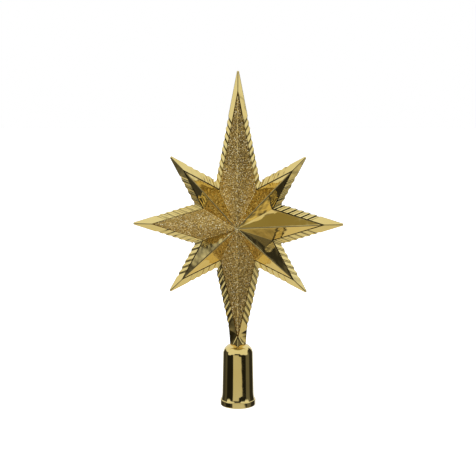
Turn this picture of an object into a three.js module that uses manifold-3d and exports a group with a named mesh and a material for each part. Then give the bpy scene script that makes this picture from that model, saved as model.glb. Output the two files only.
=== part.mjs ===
// A christmas tree topper: an eight-rayed relief star, moulded as two hollow halves that meet on the
// plane y = 0, on a flanged socket that slips over the tree's top shoot.
// Millimetres, +Z up, the star's front faces -Y. The origin is the centre of the socket's foot.

import * as THREE from "three";
import { mergeVertices } from "three/addons/utils/BufferGeometryUtils.js";
import Module from "manifold-3d";

// The star's outline, measured from its centre
const TOP_RAY = 125.3;
const SIDE_RAY = 87.0;
const UPPER_RAY = 78.5; // the two diagonals beside the top ray
const LOWER_RAY = 80.5;
const TIP_WIDTH = 1.6;

// The notches between rays, with the angle from the side, top or bottom ray in degrees
const NOTCH_RADII = { side: 40.0, top: 40.9, bottom: 42.0 };
const NOTCH_ANGLES = { side: 24.9, top: 26.4, bottom: 26.4 };

// The raised inner star, which the ribbed border runs round
const INNER_NOTCH_RADII = { side: 30.9, top: 32.2, bottom: 32.6 };
const INNER_NOTCH_ANGLES = { side: 24.5, top: 27.8, bottom: 25.5 };
const TOP_CREST = 106.5; // from the centre to where the inner star ends on each ray
const SIDE_CREST = 69.5;
const UPPER_CREST = 61.5;
const LOWER_CREST = 64.0;

// Heights above the plane on which the halves meet
const PEAK_HEIGHT = 28.0;
const RIM_HEIGHT = 1.2;
const INNER_NOTCH_HEIGHT = 4.0;
const TOP_CREST_HEIGHT = 3.9;
const SIDE_CREST_HEIGHT = 3.9;
const UPPER_CREST_HEIGHT = 4.1;
const LOWER_CREST_HEIGHT = 4.2;
const BOTTOM_CREST_HEIGHT = 4.1;

// The bottom ray narrows to a neck that stands on the socket's crown
const CENTRE_ABOVE_SOCKET = 101.9;
const BOTTOM_CREST_ABOVE_SOCKET = 8.1;
const NECK_LENGTH = 12.6;
const NECK_TOP_WIDTH = 15.2;
const NECK_WIDTH = 13.4;
const KEEL_WIDTH = 8.4; // the keel that runs down the neck's middle and out onto the shoulder
const KEEL_FOOT_HEIGHT = 3.8;

// Slanted grooves part the border into ribs, and leave the last stretch of each ray smooth
const RIB_PITCH = 5.6;
const GROOVE_WIDTH = 2.0;
const GROOVE_DEPTH = 0.7;
const GROOVE_ANGLE = 40; // degrees between a groove and the ray's edge
const TOP_SMOOTH_END = 38.0;
const SIDE_SMOOTH_END = 18.0;
const DIAGONAL_SMOOTH_END = 14.0;
const BOTTOM_SMOOTH_END = 2.0;

// The mouldings' walls, and the pegs that line the two halves up
const STAR_WALL = 1.8;
const SEAM_LAND = 2.2;
const PEG_RADIUS = 1.3;
const PEG_LENGTH = 4.0;
const PEG_BOSS_WALL = 1.5;
const TOP_PEG_DISTANCE = 58.0;
const SIDE_PEG_DISTANCE = 46.0;
const BOTTOM_PEG_DISTANCE = 56.0;
const CLEARANCE = 0.3;

// The socket
const SOCKET_HEIGHT = 52.9;
const SOCKET_TOP_RADIUS = 12.7;
const SOCKET_LOW_RADIUS = 13.45;
const SHOULDER_RADIUS = 8.4;
const SOCKET_WALL = 1.6;
const FLANGE_RADIUS = 15.0;
const FLANGE_HEIGHT = 5.2;
const FLANGE_ROUND = 1.0;
const FLARE_HEIGHT = 6.0;
const FLARE_WIDTH = 0.7;

// The star's spigot snaps through the socket's crown
const SPIGOT_RADIUS = 5.0;
const SPIGOT_BORE_RADIUS = 2.6;
const SPIGOT_END_RADIUS = 4.4;
const SPIGOT_BARB = 0.8;
const SPIGOT_BARB_LENGTH = 6.0;
const SPIGOT_ROOT_LENGTH = 3.0; // how far the spigot reaches up into the neck

// The glitter coat on the front of three rays
const COAT_THICKNESS = 0.4;
const COAT_GAP = 0.1;
const COAT_MARGIN = 0.5;

const MIRROR_GOLD = { color: 0xcfa84a, roughness: 0.12, metalness: 1.0 };
const GLITTER_GOLD = { color: 0x96783c, roughness: 0.45, metalness: 0.7 };
const ROUND_STEPS = 36;
const SHOULDER_STEPS = 6;
const SMALL_ROUND_STEPS = 3;
const PEG_STEPS = 12;
const OVERSHOOT = 1.0; // how far a cutter passes the face that it cuts
const MERGE_DISTANCE = 1e-4;

const wasm = await Module();
wasm.setup();

const STAR_CENTRE_Z = SOCKET_HEIGHT + CENTRE_ABOVE_SOCKET;
const NECK_TOP = CENTRE_ABOVE_SOCKET - NECK_LENGTH;
const BOTTOM_CREST = CENTRE_ABOVE_SOCKET - BOTTOM_CREST_ABOVE_SOCKET;
const NECK_END = CENTRE_ABOVE_SOCKET + SHOULDER_RADIUS;

// A closed geometry as a solid that can be cut and joined
function solidOf(geometry) {
  const bare = new THREE.BufferGeometry();
  bare.setAttribute("position", geometry.getAttribute("position"));
  bare.setIndex(geometry.getIndex());
  const merged = mergeVertices(bare, MERGE_DISTANCE);
  const index = merged.getIndex().array;
  const triangles = [];
  for (let i = 0; i < index.length; i += 3) {
    const [a, b, c] = index.slice(i, i + 3);
    if (a !== b && b !== c && c !== a) triangles.push(a, b, c);
  }
  return new wasm.Manifold(
    new wasm.Mesh({
      numProp: 3,
      vertProperties: merged.getAttribute("position").array,
      triVerts: new Uint32Array(triangles),
    }),
  );
}

function meshOf(solid, name, finish) {
  const { vertProperties, triVerts } = solid.getMesh();
  const geometry = new THREE.BufferGeometry();
  geometry.setAttribute("position", new THREE.BufferAttribute(vertProperties, 3));
  geometry.setIndex(new THREE.BufferAttribute(triVerts, 1));
  const flat = geometry.toNonIndexed();
  flat.computeVertexNormals();
  const mesh = new THREE.Mesh(flat, new THREE.MeshStandardMaterial(finish));
  mesh.name = name;
  return mesh;
}

// Relief points are (across, up, height): height 0 is the meeting plane, and it grows towards -Y.
function reliefPoint(across, up, height) {
  return new THREE.Vector3(across, up, height);
}

function polar(radius, degrees, height) {
  const angle = THREE.MathUtils.degToRad(degrees);
  return reliefPoint(radius * Math.cos(angle), radius * Math.sin(angle), height);
}

function triangleSolid(triangles) {
  const numbers = triangles.flat().flatMap((p) => [p.x, -p.z, p.y]);
  const geometry = new THREE.BufferGeometry();
  geometry.setAttribute("position", new THREE.Float32BufferAttribute(numbers, 3));
  return solidOf(geometry);
}

// The rays in order, counter-clockwise from the right one, each with the notch that follows it
const RAYS = [
  { name: "right", at: 0, reach: SIDE_RAY, crest: SIDE_CREST, rise: SIDE_CREST_HEIGHT },
  { name: "upper_right", at: 45, reach: UPPER_RAY, crest: UPPER_CREST, rise: UPPER_CREST_HEIGHT },
  { name: "top", at: 90, reach: TOP_RAY, crest: TOP_CREST, rise: TOP_CREST_HEIGHT },
  { name: "upper_left", at: 135, reach: UPPER_RAY, crest: UPPER_CREST, rise: UPPER_CREST_HEIGHT },
  { name: "left", at: 180, reach: SIDE_RAY, crest: SIDE_CREST, rise: SIDE_CREST_HEIGHT },
  { name: "lower_left", at: 225, reach: LOWER_RAY, crest: LOWER_CREST, rise: LOWER_CREST_HEIGHT },
  { name: "bottom", at: 270, reach: NECK_END, crest: BOTTOM_CREST, rise: BOTTOM_CREST_HEIGHT },
  { name: "lower_right", at: 315, reach: LOWER_RAY, crest: LOWER_CREST, rise: LOWER_CREST_HEIGHT },
];

// The notch that follows each ray
function notchRing(angles, radii, height) {
  return [
    polar(radii.side, angles.side, height),
    polar(radii.top, 90 - angles.top, height),
    polar(radii.top, 90 + angles.top, height),
    polar(radii.side, 180 - angles.side, height),
    polar(radii.side, 180 + angles.side, height),
    polar(radii.bottom, 270 - angles.bottom, height),
    polar(radii.bottom, 270 + angles.bottom, height),
    polar(radii.side, 360 - angles.side, height),
  ];
}

const OUTER_NOTCHES = notchRing(NOTCH_ANGLES, NOTCH_RADII, RIM_HEIGHT);
const INNER_NOTCHES = notchRing(INNER_NOTCH_ANGLES, INNER_NOTCH_RADII, INNER_NOTCH_HEIGHT);
const SMOOTH_ENDS = {
  top: TOP_SMOOTH_END,
  bottom: BOTTOM_SMOOTH_END,
  left: SIDE_SMOOTH_END,
  right: SIDE_SMOOTH_END,
};

// Each ray's own points: the notches at its root, its crest and the two sides of its tip
const rays = RAYS.map((ray, i) => {
  const before = (i + RAYS.length - 1) % RAYS.length;
  const along = polar(1, ray.at, 0);
  const across = polar(1, ray.at + 90, 0);
  const side = (distance, offset) =>
    along.clone().multiplyScalar(distance).addScaledVector(across, offset).setZ(RIM_HEIGHT);
  const bottom = ray.name === "bottom";
  const tipHalf = bottom ? NECK_TOP_WIDTH / 2 : TIP_WIDTH / 2;
  const tipReach = bottom ? NECK_TOP : ray.reach;
  return {
    name: ray.name,
    crest: polar(ray.crest, ray.at, ray.rise),
    innerBefore: INNER_NOTCHES[before],
    innerAfter: INNER_NOTCHES[i],
    outerBefore: OUTER_NOTCHES[before],
    outerAfter: OUTER_NOTCHES[i],
    tipBefore: side(tipReach, -tipHalf),
    tipAfter: side(tipReach, tipHalf),
    smooth: SMOOTH_ENDS[ray.name] ?? DIAGONAL_SMOOTH_END,
    side,
  };
});
const bottomRay = rays.find((ray) => ray.name === "bottom");

// Joins a ring of outline points to the crests inside it, and each stretch between two crests to the
// peak or to an apex of its own, down to a flat underside
function reliefSolid(ring, peak, low) {
  const triangles = [];
  const under = reliefPoint(0, 0, low);
  ring.forEach((here, i) => {
    const next = ring[(i + 1) % ring.length];
    const [a, b] = [here.edge.clone().setZ(low), next.edge.clone().setZ(low)];
    triangles.push([under, b, a], [a, b, next.edge], [a, next.edge, here.edge]);
    triangles.push([here.edge, next.edge, next.crest]);
    if (here.crest !== next.crest) {
      triangles.push([here.edge, next.crest, here.crest], [here.crest, next.crest, here.apex ?? peak]);
    }
  });
  return triangleSolid(triangles);
}

function outerRelief() {
  const keelEnd = polar(NECK_END, 270, SOCKET_TOP_RADIUS + CLEARANCE / 2);
  const ring = rays.flatMap((ray) => {
    const tipBefore = { edge: ray.tipBefore, crest: ray.crest };
    const tipAfter = { edge: ray.tipAfter, crest: ray.crest };
    const notch = { edge: ray.outerAfter, crest: ray.innerAfter };
    if (ray !== bottomRay) return [tipBefore, tipAfter, notch];
    const neckPoint = (distance, side) => ({
      edge: ray.side(distance, (side * NECK_WIDTH) / 2),
      crest: ray.side(distance, (side * KEEL_WIDTH) / 2).setZ(KEEL_FOOT_HEIGHT),
      apex: keelEnd,
    });
    return [
      { ...tipBefore, apex: keelEnd },
      neckPoint(CENTRE_ABOVE_SOCKET, -1),
      neckPoint(NECK_END, -1),
      neckPoint(NECK_END, 1),
      neckPoint(CENTRE_ABOVE_SOCKET, 1),
      tipAfter,
      notch,
    ];
  });
  return reliefSolid(ring, reliefPoint(0, 0, PEAK_HEIGHT), 0);
}

// Moves each side of a closed outline inwards by a distance, and meets the moved sides again
function inset(points, distance) {
  const lines = points.map((p, i) => {
    const q = points[(i + 1) % points.length];
    const run = q.clone().sub(p).setZ(0).normalize();
    const inwards = reliefPoint(-run.y, run.x, 0);
    return { from: p.clone().addScaledVector(inwards, distance), run };
  });
  return points.map((p, i) => {
    const one = lines[(i + points.length - 1) % points.length];
    const two = lines[i];
    const gap = two.from.clone().sub(one.from);
    const cross = one.run.x * two.run.y - one.run.y * two.run.x;
    const t = (gap.x * two.run.y - gap.y * two.run.x) / cross;
    return one.from.clone().addScaledVector(one.run, t).setZ(p.z);
  });
}

// Where a ray's two straight sides would meet if its tip weren't blunt
function sharpTip(ray) {
  const one = ray.tipBefore.clone().sub(ray.outerBefore).setZ(0);
  const two = ray.tipAfter.clone().sub(ray.outerAfter).setZ(0);
  const gap = ray.outerAfter.clone().sub(ray.outerBefore);
  const cross = one.x * two.y - one.y * two.x;
  const t = (gap.x * two.y - gap.y * two.x) / cross;
  return ray.outerBefore.clone().addScaledVector(one, t);
}

// The hollow inside one half: the outline keeps a land to meet the other half on, and the crests
// keep a full wall below the slopes on both sides of them
function hollow() {
  const outline = [];
  const crests = [];
  rays.forEach((ray) => {
    if (ray === bottomRay) {
      const half = NECK_WIDTH / 2;
      outline.push(ray.tipBefore, ray.side(CENTRE_ABOVE_SOCKET, -half));
      outline.push(ray.side(CENTRE_ABOVE_SOCKET, half), ray.tipAfter);
    } else {
      outline.push(sharpTip(ray));
    }
    outline.push(ray.outerAfter);
    crests.push(ray.crest, ray.innerAfter);
  });
  const land = inset(outline, SEAM_LAND);
  const roof = inset(crests, 0.4 * STAR_WALL);
  roof.forEach((p) => p.setZ(p.z - 1.2 * STAR_WALL));
  const ring = [];
  let next = 0;
  rays.forEach((ray, i) => {
    const corners = ray === bottomRay ? 4 : 1;
    for (let k = 0; k < corners; k += 1) ring.push({ edge: land[next + k].setZ(0), crest: roof[2 * i] });
    ring.push({ edge: land[next + corners].setZ(0), crest: roof[2 * i + 1] });
    next += corners + 1;
  });
  return reliefSolid(ring, reliefPoint(0, 0, PEAK_HEIGHT - 1.5 * STAR_WALL), -OVERSHOOT);
}

// A four-sided bar with its corners across and along the surface normal
function bar(from, to, widthDirection, halfWidth, halfDepth) {
  const axis = to.clone().sub(from);
  const normal = widthDirection.clone().cross(axis).normalize();
  const length = axis.length();
  axis.normalize();
  const flatWidth = axis.clone().cross(normal).normalize();
  const middle = from.clone().add(to).multiplyScalar(0.5);
  const geometry = new THREE.CylinderGeometry(1, 1, length, 4);
  geometry.scale(halfWidth, 1, halfDepth);
  geometry.applyMatrix4(new THREE.Matrix4().makeBasis(flatWidth, axis, normal).setPosition(middle));
  const triangles = [];
  const p = geometry.getAttribute("position");
  const index = geometry.getIndex().array;
  const corner = (i) => new THREE.Vector3().fromBufferAttribute(p, index[i]);
  for (let i = 0; i < index.length; i += 3) triangles.push([corner(i), corner(i + 1), corner(i + 2)]);
  return triangleSolid(triangles);
}

// The grooves on one side of a ray, each from its outer edge back to the inner star's edge,
// with its outer end nearer the ray's tip
function grooves(outerRoot, tip, innerRoot, crest, smooth) {
  const edge = tip.clone().sub(outerRoot);
  const length = edge.length();
  edge.normalize();
  const innerEdge = crest.clone().sub(innerRoot).normalize();
  const width = innerRoot.clone().sub(outerRoot).setZ(0).cross(edge).length();
  const lag = width / Math.tan(THREE.MathUtils.degToRad(GROOVE_ANGLE));
  const halfMouth = GROOVE_WIDTH / 2 / Math.sin(THREE.MathUtils.degToRad(GROOVE_ANGLE));
  const startLag = outerRoot.clone().sub(innerRoot).dot(edge);
  const cutters = [];
  for (let s = lag - startLag + RIB_PITCH / 2; s < length - smooth; s += RIB_PITCH) {
    const outer = outerRoot.clone().addScaledVector(edge, s);
    const back = Math.max(s + startLag - lag, 0);
    const inner = innerRoot.clone().addScaledVector(innerEdge, back);
    const run = outer.clone().sub(inner).normalize();
    const from = inner.clone().addScaledVector(run, GROOVE_WIDTH);
    const to = outer.clone().addScaledVector(run, OVERSHOOT);
    cutters.push(bar(from, to, edge, GROOVE_WIDTH / 2, GROOVE_DEPTH));
    const foot = outer.clone().setZ(-OVERSHOOT);
    const head = outer.clone().setZ(RIM_HEIGHT + GROOVE_DEPTH / 2);
    cutters.push(bar(foot, head, edge, halfMouth, GROOVE_DEPTH));
  }
  return cutters;
}

function allGrooves() {
  return rays.flatMap((ray) => [
    ...grooves(ray.outerBefore, ray.tipBefore, ray.innerBefore, ray.crest, ray.smooth),
    ...grooves(ray.outerAfter, ray.tipAfter, ray.innerAfter, ray.crest, ray.smooth),
  ]);
}

// A solid of revolution about Z from (radius, z) points that run from the axis down and back to it
function turned(points, lift) {
  const profile = points.map(([radius, z]) => new THREE.Vector2(radius, z)).reverse();
  const geometry = new THREE.LatheGeometry(profile, ROUND_STEPS);
  geometry.rotateX(Math.PI / 2);
  geometry.translate(0, 0, lift);
  return solidOf(geometry);
}

// The socket's outside from the axis down to the barrel, grown by a clearance
function shoulderProfile(grow) {
  const radius = SHOULDER_RADIUS + grow;
  const centreRadius = SOCKET_TOP_RADIUS - SHOULDER_RADIUS;
  const points = [[0, SOCKET_HEIGHT + grow]];
  for (let i = 0; i <= SHOULDER_STEPS; i += 1) {
    const angle = (Math.PI / 2) * (1 - i / SHOULDER_STEPS);
    const z = SOCKET_HEIGHT - SHOULDER_RADIUS + radius * Math.sin(angle);
    points.push([centreRadius + radius * Math.cos(angle), z]);
  }
  return points;
}

// A disc of one radius between two heights
function disc(radius, low, high, lift) {
  return turned([[0, high], [radius, high], [radius, low], [0, low]], lift);
}

const UNDER_CROWN = SOCKET_HEIGHT - SOCKET_WALL;

function spigot(lift) {
  const barbTop = UNDER_CROWN - CLEARANCE;
  const end = barbTop - SPIGOT_BARB_LENGTH;
  const root = SOCKET_HEIGHT + SPIGOT_ROOT_LENGTH;
  const points = [
    [0, root],
    [SPIGOT_RADIUS, root],
    [SPIGOT_RADIUS, barbTop],
    [SPIGOT_RADIUS + SPIGOT_BARB, barbTop],
    [SPIGOT_END_RADIUS, end],
    [0, end],
  ];
  return turned(points, lift);
}

function halfSpace() {
  const size = 4 * TOP_RAY;
  const block = new THREE.BoxGeometry(size, size, size);
  block.translate(0, size / 2, 0);
  return solidOf(block);
}

// A round bar along Y between two heights above the meeting plane
function peg(place, radius, low, high) {
  const bar = new THREE.CylinderGeometry(radius, radius, high - low, PEG_STEPS);
  bar.translate(place.x, -(low + high) / 2, place.y);
  return solidOf(bar);
}

const PEG_PLACES = [
  polar(TOP_PEG_DISTANCE, 90, 0),
  polar(SIDE_PEG_DISTANCE, 180, 0),
  polar(SIDE_PEG_DISTANCE, 0, 0),
  polar(BOTTOM_PEG_DISTANCE, 270, 0),
];

// One half of the star in front of the meeting plane, with bosses that hold a peg or take one
function starHalf(withPegs) {
  const lift = -STAR_CENTRE_Z;
  const outside = outerRelief();
  const socketSpace = turned([...shoulderProfile(CLEARANCE), [SOCKET_TOP_RADIUS + CLEARANCE, 0], [0, 0]], lift);
  let half = outside.subtract(socketSpace);
  allGrooves().forEach((cutter) => {
    half = half.subtract(cutter);
  });
  half = half.subtract(hollow());
  const neckBore = disc(SPIGOT_BORE_RADIUS, 0, STAR_CENTRE_Z - BOTTOM_CREST, lift);
  half = half.add(spigot(lift).subtract(halfSpace())).subtract(neckBore);
  PEG_PLACES.forEach((place) => {
    const boss = peg(place, PEG_RADIUS + CLEARANCE + PEG_BOSS_WALL, 0, PEAK_HEIGHT);
    half = half.add(boss.intersect(outside));
    half = withPegs
      ? half.add(peg(place, PEG_RADIUS, -PEG_LENGTH, OVERSHOOT))
      : half.subtract(peg(place, PEG_RADIUS + CLEARANCE, -OVERSHOOT, PEG_LENGTH + CLEARANCE));
  });
  return half;
}

function socketCup() {
  const flareTop = FLANGE_HEIGHT + FLARE_HEIGHT;
  const points = shoulderProfile(0);
  points.push([SOCKET_LOW_RADIUS, flareTop]);
  for (let i = 1; i <= SMALL_ROUND_STEPS; i += 1) {
    const angle = (Math.PI / 2) * (i / SMALL_ROUND_STEPS);
    const out = SOCKET_LOW_RADIUS + FLARE_WIDTH * (1 - Math.cos(angle));
    points.push([out, flareTop - FLARE_HEIGHT * Math.sin(angle)]);
  }
  const corner = FLANGE_RADIUS - FLANGE_ROUND;
  for (const [z, turn] of [[FLANGE_HEIGHT - FLANGE_ROUND / 2, 1], [FLANGE_ROUND, 0]]) {
    for (let i = 0; i <= SMALL_ROUND_STEPS; i += 1) {
      const angle = (Math.PI / 2) * (turn - i / SMALL_ROUND_STEPS);
      const rise = turn ? FLANGE_ROUND / 2 : FLANGE_ROUND;
      points.push([corner + FLANGE_ROUND * Math.cos(angle), z + rise * Math.sin(angle)]);
    }
  }
  points.push([SOCKET_LOW_RADIUS - SOCKET_WALL, 0]);
  const inner = shoulderProfile(-SOCKET_WALL).reverse();
  const cup = turned([...points, ...inner], 0);
  return cup.subtract(disc(SPIGOT_RADIUS + CLEARANCE, UNDER_CROWN - SHOULDER_RADIUS, SOCKET_HEIGHT + OVERSHOOT, 0));
}

// The glitter on the two facets of one ray: a thin skin just off the moulding
function glitterCoat(ray) {
  const peak = reliefPoint(0, 0, PEAK_HEIGHT);
  const towards = (p, q) => p.clone().lerp(q, COAT_MARGIN / p.distanceTo(q));
  const ridgeMiddle = peak.clone().lerp(ray.crest, 0.5);
  const plan = [
    towards(peak, ray.crest),
    towards(ray.innerBefore, ridgeMiddle),
    towards(ray.crest, peak),
    towards(ray.innerAfter, ridgeMiddle),
  ];
  const lifted = (height) => plan.map((p) => p.clone().setZ(p.z + height));
  const low = lifted(COAT_GAP);
  const high = lifted(COAT_GAP + COAT_THICKNESS);
  const triangles = [
    [high[0], high[1], high[2]],
    [high[0], high[2], high[3]],
    [low[0], low[2], low[1]],
    [low[0], low[3], low[2]],
  ];
  plan.forEach((p, i) => {
    const k = (i + 1) % plan.length;
    triangles.push([low[i], low[k], high[k]], [low[i], high[k], high[i]]);
  });
  return triangleSolid(triangles);
}

const topper = new THREE.Group();
const star = new THREE.Group();
star.position.z = STAR_CENTRE_Z;
topper.add(star);

star.add(meshOf(starHalf(false), "star_front_shell", MIRROR_GOLD));
const back = meshOf(starHalf(true), "star_back_shell", MIRROR_GOLD);
back.scale.y = -1;
star.add(back);
for (const name of ["top", "left", "bottom"]) {
  const ray = rays.find((r) => r.name === name);
  star.add(meshOf(glitterCoat(ray), `glitter_${name}_ray`, GLITTER_GOLD));
}
topper.add(meshOf(socketCup(), "socket_cup", MIRROR_GOLD));

export default topper;
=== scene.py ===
# %% [markdown]
# # A mirror-gold christmas tree topper
# The object is a light plastic star with eight rays on a socket that slips over the tree's top
# shoot. Its mouldings are metallised in mirror gold, and three rays carry fine gold glitter. The
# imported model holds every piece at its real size. This script gives each one the surface that an
# eye at arm's length sees: softened creases, rope-like ribs, loose flakes and reflections.

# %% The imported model
import math

import bmesh
import bpy
from mathutils import Matrix, Vector


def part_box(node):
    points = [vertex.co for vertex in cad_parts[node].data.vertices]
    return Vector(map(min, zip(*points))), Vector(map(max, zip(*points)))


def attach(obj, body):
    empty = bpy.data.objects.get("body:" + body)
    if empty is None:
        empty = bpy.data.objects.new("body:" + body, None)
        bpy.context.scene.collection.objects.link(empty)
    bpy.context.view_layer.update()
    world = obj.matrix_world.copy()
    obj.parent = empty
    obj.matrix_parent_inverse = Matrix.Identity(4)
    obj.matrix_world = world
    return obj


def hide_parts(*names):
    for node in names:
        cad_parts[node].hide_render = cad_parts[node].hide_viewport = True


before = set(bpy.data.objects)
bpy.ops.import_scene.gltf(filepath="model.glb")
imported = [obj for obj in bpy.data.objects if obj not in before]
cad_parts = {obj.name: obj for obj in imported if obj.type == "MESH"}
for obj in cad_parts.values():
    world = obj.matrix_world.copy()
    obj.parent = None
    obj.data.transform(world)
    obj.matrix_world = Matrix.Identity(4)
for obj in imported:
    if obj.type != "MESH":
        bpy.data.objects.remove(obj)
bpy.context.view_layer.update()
MM = 0.001
print("packed nodes:", sorted(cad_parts))

# %% [markdown]
# ## The camera
# A catalogue picture of such a star is taken from a little above with a longish lens, so that the
# rays keep their lengths and the socket shows its round foot. The camera stands almost 90 cm away
# and about two degrees to the right, which moves the front ridge a little left of the socket.

# %% Camera
CAMERA_DISTANCE = 885.7 * MM
CAMERA_HEIGHT = 284.4 * MM
CAMERA_AZIMUTH = math.radians(2.2)
CAMERA_PITCH = math.radians(9.07)
FOCAL_PIXELS = 1080
PHOTO_WIDTH = 476
SENSOR_WIDTH = 36

camera_data = bpy.data.cameras.new("camera")
camera_data.sensor_width = SENSOR_WIDTH
camera_data.lens = FOCAL_PIXELS / PHOTO_WIDTH * SENSOR_WIDTH
camera = bpy.data.objects.new("camera", camera_data)
bpy.context.scene.collection.objects.link(camera)
camera.location = (
    CAMERA_DISTANCE * math.sin(CAMERA_AZIMUTH),
    -CAMERA_DISTANCE * math.cos(CAMERA_AZIMUTH),
    CAMERA_HEIGHT,
)
camera.rotation_euler = (math.pi / 2 - CAMERA_PITCH, 0, CAMERA_AZIMUTH)
bpy.context.scene.camera = camera
print("lens in mm:", round(camera_data.lens, 1))

# %% [markdown]
# ## The star's relief in numbers
# Each ray has the same section: a rim on the parting plane, a ribbed border that climbs gently, a
# small step, and two facets that meet in a ridge. It could be drawn by hand, but a few named
# sizes keep the eight rays alike and easy to change. The numbers are millimetres on the star's
# face, and a point is (across, up, height above the parting plane).

# %% Relief points
shell_low, shell_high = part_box("star_front_shell")
SIDE_RAY = shell_high.x / MM
PEAK_HEIGHT = -shell_low.y / MM
TOP_RAY = 125.3
UPPER_RAY = 78.5
LOWER_RAY = 80.5
CENTRE_Z = shell_high.z / MM - TOP_RAY
TIP_WIDTH = 1.6
RIM_HEIGHT = 1.2
NOTCH_RADII = {"side": 40.0, "top": 40.9, "bottom": 42.0}
NOTCH_ANGLES = {"side": 24.9, "top": 26.4, "bottom": 26.4}
INNER_NOTCH_RADII = {"side": 30.9, "top": 32.2, "bottom": 32.6}
INNER_NOTCH_ANGLES = {"side": 24.5, "top": 27.8, "bottom": 25.5}
INNER_NOTCH_HEIGHT = 4.0
CRESTS = {"side": 69.5, "top": 106.5, "upper": 61.5, "lower": 64.0, "bottom": 93.8}
STEP = 0.45  # how far the inner star stands above the border
SOCKET_TOP = 52.9
SHOULDER_RADIUS = 8.4
SOCKET_TOP_RADIUS = 12.7
NECK_START = 89.3
NECK_HALVES = (7.6, 6.7)
KEEL_HALF = 4.2
KEEL_FOOT_HEIGHT = 3.8
FIT_GAP = 0.3


def point(across, up, height):
    return Vector((across, up, height))


def polar(radius, degrees, height):
    angle = math.radians(degrees)
    return point(radius * math.cos(angle), radius * math.sin(angle), height)


def key_of(p):
    """A relief point's coordinates, rounded so that equal corners compare as equal."""
    return tuple(round(c, 3) for c in p)


def place(p, side=-1):
    """A relief point in metres. The front half is at side -1 and the back half at side 1."""
    return Vector((p.x, side * p.z, CENTRE_Z + p.y)) * MM


NOTCHES = (
    ("side", 0, 1), ("top", 90, -1), ("top", 90, 1), ("side", 180, -1),
    ("side", 180, 1), ("bottom", 270, -1), ("bottom", 270, 1), ("side", 360, -1),
)


def notch_ring(angles, radii, height):
    """The eight notches, counter-clockwise from the one after the right ray."""
    return [polar(radii[kind], axis + way * angles[kind], height) for kind, axis, way in NOTCHES]


outer_notches = notch_ring(NOTCH_ANGLES, NOTCH_RADII, RIM_HEIGHT)
inner_notches = notch_ring(INNER_NOTCH_ANGLES, INNER_NOTCH_RADII, INNER_NOTCH_HEIGHT - STEP)
print("star centre at z", round(CENTRE_Z, 1), "peak height", round(PEAK_HEIGHT, 1))


# %% [markdown]
# ## One ray at a time
# A strip of border is flat on a real moulding, so the height of the crest where two strips meet
# follows from the plane through the notch and the edge. Working it out keeps each mirror facet
# flat, which a reflection would otherwise give away.

# %% Rays
def plane_height(a, b, c, x, y):
    """The height at (x, y) of the plane through three relief points."""
    normal = (b - a).cross(c - a)
    return a.z - (normal.x * (x - a.x) + normal.y * (y - a.y)) / normal.z


class Ray:
    def __init__(self, index, name, kind, reach):
        self.name = name
        self.kind = kind
        self.degrees = 45 * index
        self.along = polar(1, self.degrees, 0)
        self.across = polar(1, self.degrees + 90, 0)
        self.outer = (outer_notches[index - 1], outer_notches[index])
        self.inner = (inner_notches[index - 1], inner_notches[index])
        half = NECK_HALVES[0] if kind == "bottom" else TIP_WIDTH / 2
        self.tips = (self.at(reach, -half), self.at(reach, half))
        self.crest = self.on_strips(CRESTS[kind])
        self.ridge_end = self.on_strips(reach - TIP_WIDTH / 2)

    def at(self, distance, offset, height=RIM_HEIGHT):
        flat = self.along * distance + self.across * offset
        return point(flat.x, flat.y, height)

    def on_strips(self, distance):
        """The point of the ray's middle line where its two border strips meet."""
        p = self.at(distance, 0)
        heights = [
            plane_height(outer, tip, inner, p.x, p.y)
            for outer, tip, inner in zip(self.outer, self.tips, self.inner)
        ]
        return point(p.x, p.y, sum(heights) / len(heights))


RAY_KINDS = [
    ("right", "side", SIDE_RAY),
    ("upper_right", "upper", UPPER_RAY),
    ("top", "top", TOP_RAY),
    ("upper_left", "upper", UPPER_RAY),
    ("left", "side", SIDE_RAY),
    ("lower_left", "lower", LOWER_RAY),
    ("bottom", "bottom", NECK_START),
    ("lower_right", "lower", LOWER_RAY),
]
rays = [Ray(i, *row) for i, row in enumerate(RAY_KINDS)]
by_name = {ray.name: ray for ray in rays}
print("crest heights:", {ray.name: round(ray.crest.z, 2) for ray in rays})

# %% [markdown]
# ## Building faces from points
# A face is a list of relief points in counter-clockwise order. A small store gives equal points
# one vertex, so the faces close up into one body. Edges carry a bevel weight: a ridge of a
# metallised moulding is never sharp, because the lacquer rounds it, and that round edge catches
# the light.

# %% Mesh helpers
EDGE_SOFTNESS = 0.5 * MM
SEAM_WEIGHT = 0.3
SOFT_SEGMENTS = 3
SQUARE = ((-1, -1), (1, -1), (1, 1), (-1, 1))


def looped(*rings):
    """Pairs each row of the rings with the next row, and the last one with the first."""
    rows = list(zip(*rings))
    return zip(rows, rows[1:] + rows[:1])


class FaceStore:
    def __init__(self, side=-1):
        self.side = side
        self.bm = bmesh.new()
        self.found = {}

    def vertex(self, p):
        key = key_of(p)
        if key not in self.found:
            self.found[key] = self.bm.verts.new(place(p, self.side))
        return self.found[key]

    def add(self, *faces):
        for points in faces:
            self.bm.faces.new([self.vertex(p) for p in points])

    def weigh(self, weight_of):
        """Sets each edge's bevel weight from the relief points of its two ends."""
        layer = self.bm.edges.layers.float.new("bevel_weight_edge")
        place_of = {v: Vector(key) for key, v in self.found.items()}
        for edge in self.bm.edges:
            edge[layer] = weight_of(place_of[edge.verts[0]], place_of[edge.verts[1]])


def linked(name, data):
    made = bpy.data.objects.new(name, data)
    bpy.context.scene.collection.objects.link(made)
    return made


def finished(name, bm):
    """Turns a bmesh into an object whose faces look outwards."""
    bmesh.ops.recalc_face_normals(bm, faces=bm.faces)
    mesh = bpy.data.meshes.new(name)
    bm.to_mesh(mesh)
    bm.free()
    return linked(name, mesh)


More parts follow.
